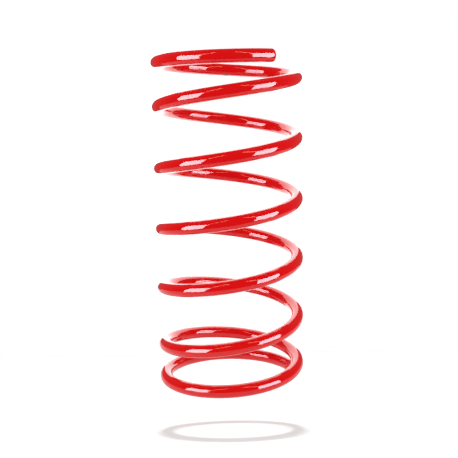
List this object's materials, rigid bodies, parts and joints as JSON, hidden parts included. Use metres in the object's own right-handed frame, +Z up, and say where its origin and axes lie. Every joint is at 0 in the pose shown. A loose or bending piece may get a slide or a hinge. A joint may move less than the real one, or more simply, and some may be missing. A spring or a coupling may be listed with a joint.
{
  "type": "coil spring",
  "caption": "Right-hand wound cylindrical compression spring of round bar with open, square-cut ends and gentle end coils, coated gloss red, for a car's suspension.",
  "frame": {"origin": "on the coil's axis, level with the underside of the lower end coil at its cut end", "axes": "+Z up the coil's axis from the lower seat to the upper seat; -Y is the front, the side nearer the upper cut end; azimuth runs from +X towards +Y, the way the bar climbs"},
  "size_m": [0.14, 0.14, 0.3177],
  "materials": {
    "red_powder_coat": "gloss"
  },
  "bodies": {
    "lower_end_coil": {"lower_end_coil_back": "red_powder_coat", "lower_end_coil_left": "red_powder_coat", "lower_end_coil_front": "red_powder_coat"},
    "active_coil_1_right": {"active_coil_1_right": "red_powder_coat"},
    "active_coil_1_back": {"active_coil_1_back": "red_powder_coat"},
    "active_coil_1_left": {"active_coil_1_left": "red_powder_coat"},
    "active_coil_1_front": {"active_coil_1_front": "red_powder_coat"},
    "active_coil_2_right": {"active_coil_2_right": "red_powder_coat"},
    "active_coil_2_back": {"active_coil_2_back": "red_powder_coat"},
    "active_coil_2_left": {"active_coil_2_left": "red_powder_coat"},
    "active_coil_2_front": {"active_coil_2_front": "red_powder_coat"},
    "active_coil_3_right": {"active_coil_3_right": "red_powder_coat"},
    "active_coil_3_back": {"active_coil_3_back": "red_powder_coat"},
    "active_coil_3_left": {"active_coil_3_left": "red_powder_coat"},
    "active_coil_3_front": {"active_coil_3_front": "red_powder_coat"},
    "active_coil_4_right": {"active_coil_4_right": "red_powder_coat"},
    "active_coil_4_back": {"active_coil_4_back": "red_powder_coat"},
    "active_coil_4_left": {"active_coil_4_left": "red_powder_coat"},
    "active_coil_4_front": {"active_coil_4_front": "red_powder_coat"},
    "active_coil_5_right": {"active_coil_5_right": "red_powder_coat"},
    "active_coil_5_back": {"active_coil_5_back": "red_powder_coat"},
    "active_coil_5_left": {"active_coil_5_left": "red_powder_coat"},
    "active_coil_5_front": {"active_coil_5_front": "red_powder_coat"},
    "active_coil_6_right": {"active_coil_6_right": "red_powder_coat"},
    "active_coil_6_back": {"active_coil_6_back": "red_powder_coat"},
    "upper_end_coil": {"upper_end_coil_left": "red_powder_coat", "upper_end_coil_front": "red_powder_coat"}
  },
  "joints": [
    {"name": "compression", "type": "slide", "parent": "lower_end_coil", "child": "upper_end_coil", "axis": [0, 0, -1], "range_m": [0, 0.1683], "stiffness_N_per_m": 18500},
    {"name": "travel_active_coil_1_right", "type": "slide", "parent": "lower_end_coil", "child": "active_coil_1_right", "axis": [0, 0, -1], "range_m": [0, 0.00081]},
    {"name": "travel_active_coil_1_back", "type": "slide", "parent": "lower_end_coil", "child": "active_coil_1_back", "axis": [0, 0, -1], "range_m": [0, 0.00369]},
    {"name": "travel_active_coil_1_left", "type": "slide", "parent": "lower_end_coil", "child": "active_coil_1_left", "axis": [0, 0, -1], "range_m": [0, 0.00867]},
    {"name": "travel_active_coil_1_front", "type": "slide", "parent": "lower_end_coil", "child": "active_coil_1_front", "axis": [0, 0, -1], "range_m": [0, 0.01574]},
    {"name": "travel_active_coil_2_right", "type": "slide", "parent": "lower_end_coil", "child": "active_coil_2_right", "axis": [0, 0, -1], "range_m": [0, 0.02439]},
    {"name": "travel_active_coil_2_back", "type": "slide", "parent": "lower_end_coil", "child": "active_coil_2_back", "axis": [0, 0, -1], "range_m": [0, 0.03314]},
    {"name": "travel_active_coil_2_left", "type": "slide", "parent": "lower_end_coil", "child": "active_coil_2_left", "axis": [0, 0, -1], "range_m": [0, 0.04189]},
    {"name": "travel_active_coil_2_front", "type": "slide", "parent": "lower_end_coil", "child": "active_coil_2_front", "axis": [0, 0, -1], "range_m": [0, 0.05065]},
    {"name": "travel_active_coil_3_right", "type": "slide", "parent": "lower_end_coil", "child": "active_coil_3_right", "axis": [0, 0, -1], "range_m": [0, 0.0594]},
    {"name": "travel_active_coil_3_back", "type": "slide", "parent": "lower_end_coil", "child": "active_coil_3_back", "axis": [0, 0, -1], "range_m": [0, 0.06815]},
    {"name": "travel_active_coil_3_left", "type": "slide", "parent": "lower_end_coil", "child": "active_coil_3_left", "axis": [0, 0, -1], "range_m": [0, 0.0769]},
    {"name": "travel_active_coil_3_front", "type": "slide", "parent": "lower_end_coil", "child": "active_coil_3_front", "axis": [0, 0, -1], "range_m": [0, 0.08565]},
    {"name": "travel_active_coil_4_right", "type": "slide", "parent": "lower_end_coil", "child": "active_coil_4_right", "axis": [0, 0, -1], "range_m": [0, 0.0944]},
    {"name": "travel_active_coil_4_back", "type": "slide", "parent": "lower_end_coil", "child": "active_coil_4_back", "axis": [0, 0, -1], "range_m": [0, 0.10314]},
    {"name": "travel_active_coil_4_left", "type": "slide", "parent": "lower_end_coil", "child": "active_coil_4_left", "axis": [0, 0, -1], "range_m": [0, 0.11189]},
    {"name": "travel_active_coil_4_front", "type": "slide", "parent": "lower_end_coil", "child": "active_coil_4_front", "axis": [0, 0, -1], "range_m": [0, 0.12064]},
    {"name": "travel_active_coil_5_right", "type": "slide", "parent": "lower_end_coil", "child": "active_coil_5_right", "axis": [0, 0, -1], "range_m": [0, 0.12939]},
    {"name": "travel_active_coil_5_back", "type": "slide", "parent": "lower_end_coil", "child": "active_coil_5_back", "axis": [0, 0, -1], "range_m": [0, 0.13815]},
    {"name": "travel_active_coil_5_left", "type": "slide", "parent": "lower_end_coil", "child": "active_coil_5_left", "axis": [0, 0, -1], "range_m": [0, 0.1469]},
    {"name": "travel_active_coil_5_front", "type": "slide", "parent": "lower_end_coil", "child": "active_coil_5_front", "axis": [0, 0, -1], "range_m": [0, 0.15565]},
    {"name": "travel_active_coil_6_right", "type": "slide", "parent": "lower_end_coil", "child": "active_coil_6_right", "axis": [0, 0, -1], "range_m": [0, 0.16289]},
    {"name": "travel_active_coil_6_back", "type": "slide", "parent": "lower_end_coil", "child": "active_coil_6_back", "axis": [0, 0, -1], "range_m": [0, 0.16708]}
  ],
  "couplings": [
    {"joint": "travel_active_coil_1_right", "follows": "compression", "ratio": 0.0048},
    {"joint": "travel_active_coil_1_back", "follows": "compression", "ratio": 0.0219},
    {"joint": "travel_active_coil_1_left", "follows": "compression", "ratio": 0.0515},
    {"joint": "travel_active_coil_1_front", "follows": "compression", "ratio": 0.0935},
    {"joint": "travel_active_coil_2_right", "follows": "compression", "ratio": 0.1449},
    {"joint": "travel_active_coil_2_back", "follows": "compression", "ratio": 0.1969},
    {"joint": "travel_active_coil_2_left", "follows": "compression", "ratio": 0.2489},
    {"joint": "travel_active_coil_2_front", "follows": "compression", "ratio": 0.3009},
    {"joint": "travel_active_coil_3_right", "follows": "compression", "ratio": 0.3529},
    {"joint": "travel_active_coil_3_back", "follows": "compression", "ratio": 0.4049},
    {"joint": "travel_active_coil_3_left", "follows": "compression", "ratio": 0.4569},
    {"joint": "travel_active_coil_3_front", "follows": "compression", "ratio": 0.5089},
    {"joint": "travel_active_coil_4_right", "follows": "compression", "ratio": 0.5609},
    {"joint": "travel_active_coil_4_back", "follows": "compression", "ratio": 0.6128},
    {"joint": "travel_active_coil_4_left", "follows": "compression", "ratio": 0.6648},
    {"joint": "travel_active_coil_4_front", "follows": "compression", "ratio": 0.7168},
    {"joint": "travel_active_coil_5_right", "follows": "compression", "ratio": 0.7688},
    {"joint": "travel_active_coil_5_back", "follows": "compression", "ratio": 0.8208},
    {"joint": "travel_active_coil_5_left", "follows": "compression", "ratio": 0.8728},
    {"joint": "travel_active_coil_5_front", "follows": "compression", "ratio": 0.9248},
    {"joint": "travel_active_coil_6_right", "follows": "compression", "ratio": 0.9678},
    {"joint": "travel_active_coil_6_back", "follows": "compression", "ratio": 0.9927}
  ]
}
